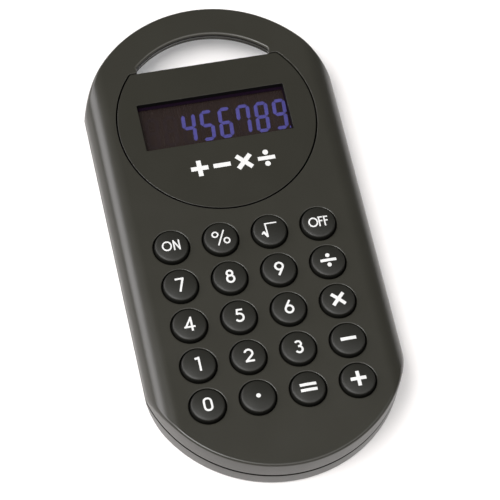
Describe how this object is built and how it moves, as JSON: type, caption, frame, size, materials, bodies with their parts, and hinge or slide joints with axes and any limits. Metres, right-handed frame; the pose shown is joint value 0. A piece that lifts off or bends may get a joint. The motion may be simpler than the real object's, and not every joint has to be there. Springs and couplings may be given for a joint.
{
  "type": "handheld calculator",
  "caption": "Slim pocket and desk calculator with rolled sides, a round display panel, round sprung keys and an arched handle opening above the display.",
  "frame": {"origin": "middle of the bounding box, on the flat back that it lies on", "axes": "+Z out of the keypad, +Y towards the handle opening, +X to the right when reading the display"},
  "size_m": [0.0596, 0.1186, 0.0116],
  "materials": {
    "casing": "dark grey, fine satin texture",
    "panel": "dark olive grey, satin",
    "keys": "near black, semi-gloss, with printed white legends",
    "window": "clear, polished",
    "display": "liquid crystal cell, dark purple brown",
    "film": "thin film",
    "ribbon": "amber film with printed tracks",
    "board": "green solder mask",
    "rubber": "moulded silicone rubber",
    "epoxy": "cured black resin",
    "ceramic": "fired ceramic",
    "steel": "zinc or nickel plated",
    "contact": "plated spring sheet"
  },
  "bodies": {
    "body": {"front_casing": "casing", "rear_casing": "casing", "display_panel": "panel", "display_window": "window", "lcd_glass": "display", "lcd_polariser": "film", "lcd_reflector": "film", "lcd_ribbon": "ribbon", "circuit_board": "board", "keypad_mat": "rubber", "chip_cover": "epoxy", "clock_resistor": "epoxy", "supply_capacitor": "ceramic", "button_cell": "steel", "contact_negative": "contact", "contact_positive": "contact", "casing_screw_1": "steel", "board_screw_1": "steel", "casing_screw_2": "steel", "board_screw_2": "steel", "casing_screw_3": "steel", "board_screw_3": "steel", "casing_screw_4": "steel", "board_screw_4": "steel"},
    "battery_door": {"battery_door": "casing"},
    "key_on": {"key_on": "keys"},
    "key_percent": {"key_percent": "keys"},
    "key_root": {"key_root": "keys"},
    "key_off": {"key_off": "keys"},
    "key_7": {"key_7": "keys"},
    "key_8": {"key_8": "keys"},
    "key_9": {"key_9": "keys"},
    "key_divide": {"key_divide": "keys"},
    "key_4": {"key_4": "keys"},
    "key_5": {"key_5": "keys"},
    "key_6": {"key_6": "keys"},
    "key_multiply": {"key_multiply": "keys"},
    "key_1": {"key_1": "keys"},
    "key_2": {"key_2": "keys"},
    "key_3": {"key_3": "keys"},
    "key_minus": {"key_minus": "keys"},
    "key_0": {"key_0": "keys"},
    "key_point": {"key_point": "keys"},
    "key_equals": {"key_equals": "keys"},
    "key_plus": {"key_plus": "keys"}
  },
  "joints": [
    {"name": "battery_door_swing", "type": "hinge", "parent": "body", "child": "battery_door", "pos_m": [0, 0.0201, 0.0001], "axis": [1, 0, 0], "range_deg": [0, 70]},
    {"name": "key_on_press", "type": "slide", "parent": "body", "child": "key_on", "axis": [0, 0, -1], "range_m": [0, 0.0008], "stiffness_N_per_m": 400, "deforming": ["keypad_mat"]},
    {"name": "key_percent_press", "type": "slide", "parent": "body", "child": "key_percent", "axis": [0, 0, -1], "range_m": [0, 0.0008], "stiffness_N_per_m": 400, "deforming": ["keypad_mat"]},
    {"name": "key_root_press", "type": "slide", "parent": "body", "child": "key_root", "axis": [0, 0, -1], "range_m": [0, 0.0008], "stiffness_N_per_m": 400, "deforming": ["keypad_mat"]},
    {"name": "key_off_press", "type": "slide", "parent": "body", "child": "key_off", "axis": [0, 0, -1], "range_m": [0, 0.0008], "stiffness_N_per_m": 400, "deforming": ["keypad_mat"]},
    {"name": "key_7_press", "type": "slide", "parent": "body", "child": "key_7", "axis": [0, 0, -1], "range_m": [0, 0.0008], "stiffness_N_per_m": 400, "deforming": ["keypad_mat"]},
    {"name": "key_8_press", "type": "slide", "parent": "body", "child": "key_8", "axis": [0, 0, -1], "range_m": [0, 0.0008], "stiffness_N_per_m": 400, "deforming": ["keypad_mat"]},
    {"name": "key_9_press", "type": "slide", "parent": "body", "child": "key_9", "axis": [0, 0, -1], "range_m": [0, 0.0008], "stiffness_N_per_m": 400, "deforming": ["keypad_mat"]},
    {"name": "key_divide_press", "type": "slide", "parent": "body", "child": "key_divide", "axis": [0, 0, -1], "range_m": [0, 0.0008], "stiffness_N_per_m": 400, "deforming": ["keypad_mat"]},
    {"name": "key_4_press", "type": "slide", "parent": "body", "child": "key_4", "axis": [0, 0, -1], "range_m": [0, 0.0008], "stiffness_N_per_m": 400, "deforming": ["keypad_mat"]},
    {"name": "key_5_press", "type": "slide", "parent": "body", "child": "key_5", "axis": [0, 0, -1], "range_m": [0, 0.0008], "stiffness_N_per_m": 400, "deforming": ["keypad_mat"]},
    {"name": "key_6_press", "type": "slide", "parent": "body", "child": "key_6", "axis": [0, 0, -1], "range_m": [0, 0.0008], "stiffness_N_per_m": 400, "deforming": ["keypad_mat"]},
    {"name": "key_multiply_press", "type": "slide", "parent": "body", "child": "key_multiply", "axis": [0, 0, -1], "range_m": [0, 0.0008], "stiffness_N_per_m": 400, "deforming": ["keypad_mat"]},
    {"name": "key_1_press", "type": "slide", "parent": "body", "child": "key_1", "axis": [0, 0, -1], "range_m": [0, 0.0008], "stiffness_N_per_m": 400, "deforming": ["keypad_mat"]},
    {"name": "key_2_press", "type": "slide", "parent": "body", "child": "key_2", "axis": [0, 0, -1], "range_m": [0, 0.0008], "stiffness_N_per_m": 400, "deforming": ["keypad_mat"]},
    {"name": "key_3_press", "type": "slide", "parent": "body", "child": "key_3", "axis": [0, 0, -1], "range_m": [0, 0.0008], "stiffness_N_per_m": 400, "deforming": ["keypad_mat"]},
    {"name": "key_minus_press", "type": "slide", "parent": "body", "child": "key_minus", "axis": [0, 0, -1], "range_m": [0, 0.0008], "stiffness_N_per_m": 400, "deforming": ["keypad_mat"]},
    {"name": "key_0_press", "type": "slide", "parent": "body", "child": "key_0", "axis": [0, 0, -1], "range_m": [0, 0.0008], "stiffness_N_per_m": 400, "deforming": ["keypad_mat"]},
    {"name": "key_point_press", "type": "slide", "parent": "body", "child": "key_point", "axis": [0, 0, -1], "range_m": [0, 0.0008], "stiffness_N_per_m": 400, "deforming": ["keypad_mat"]},
    {"name": "key_equals_press", "type": "slide", "parent": "body", "child": "key_equals", "axis": [0, 0, -1], "range_m": [0, 0.0008], "stiffness_N_per_m": 400, "deforming": ["keypad_mat"]},
    {"name": "key_plus_press", "type": "slide", "parent": "body", "child": "key_plus", "axis": [0, 0, -1], "range_m": [0, 0.0008], "stiffness_N_per_m": 400, "deforming": ["keypad_mat"]}
  ]
}
